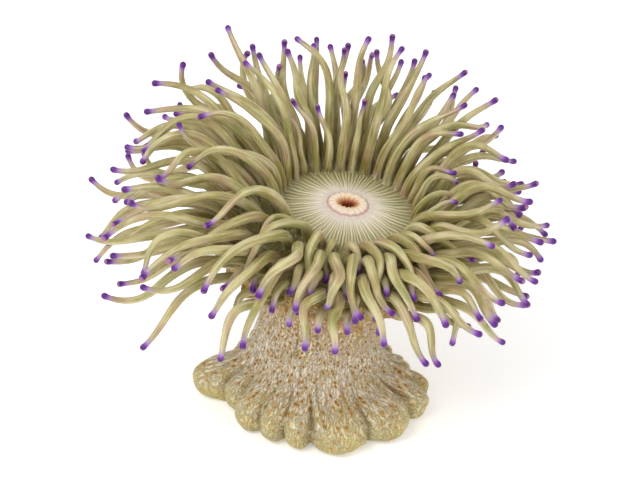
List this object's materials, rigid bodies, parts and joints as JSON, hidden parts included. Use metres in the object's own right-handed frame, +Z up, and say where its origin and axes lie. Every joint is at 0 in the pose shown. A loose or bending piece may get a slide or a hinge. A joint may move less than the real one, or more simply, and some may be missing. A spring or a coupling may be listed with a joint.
{
  "type": "sea anemone",
  "caption": "Life-size still model of a sea anemone: a lobed foot, a flared column, a flat mouth disc and a crown of long tapering tentacles with swollen tips.",
  "frame": {"origin": "on the floor, in the middle of the column, in the plane of the foot's flat sole", "axes": "+Z up the column; -Y towards the front, where the tentacles hang; +X to the right, the way the crown leans"},
  "size_m": [0.1623, 0.1369, 0.1219],
  "materials": {
    "foot_skin": "moist yellow-green skin with fine brown dots, paler on the lobes",
    "column_skin": "moist pinkish-cream skin with lengthwise pale wrinkles and rows of brown-orange spots",
    "disc_skin": "moist cream skin with fine radial lines, greener towards the edge",
    "lip_skin": "moist cream ring with a thin pink-purple outline round a dark red mouth",
    "tentacle_skin": "moist olive skin, darker at the root, turning violet at the tip"
  },
  "bodies": {
    "root": {"pedal_disc": "foot_skin", "column_lower": "column_skin", "column_upper": "column_skin", "oral_disc": "disc_skin", "lips": "lip_skin", "tentacles_01": "tentacle_skin", "tentacles_02": "tentacle_skin", "tentacles_03": "tentacle_skin", "tentacles_04": "tentacle_skin", "tentacles_05": "tentacle_skin", "tentacles_06": "tentacle_skin", "tentacles_07": "tentacle_skin", "tentacles_08": "tentacle_skin", "tentacles_09": "tentacle_skin", "tentacles_10": "tentacle_skin", "tentacles_11": "tentacle_skin"}
  },
  "joints": []
}
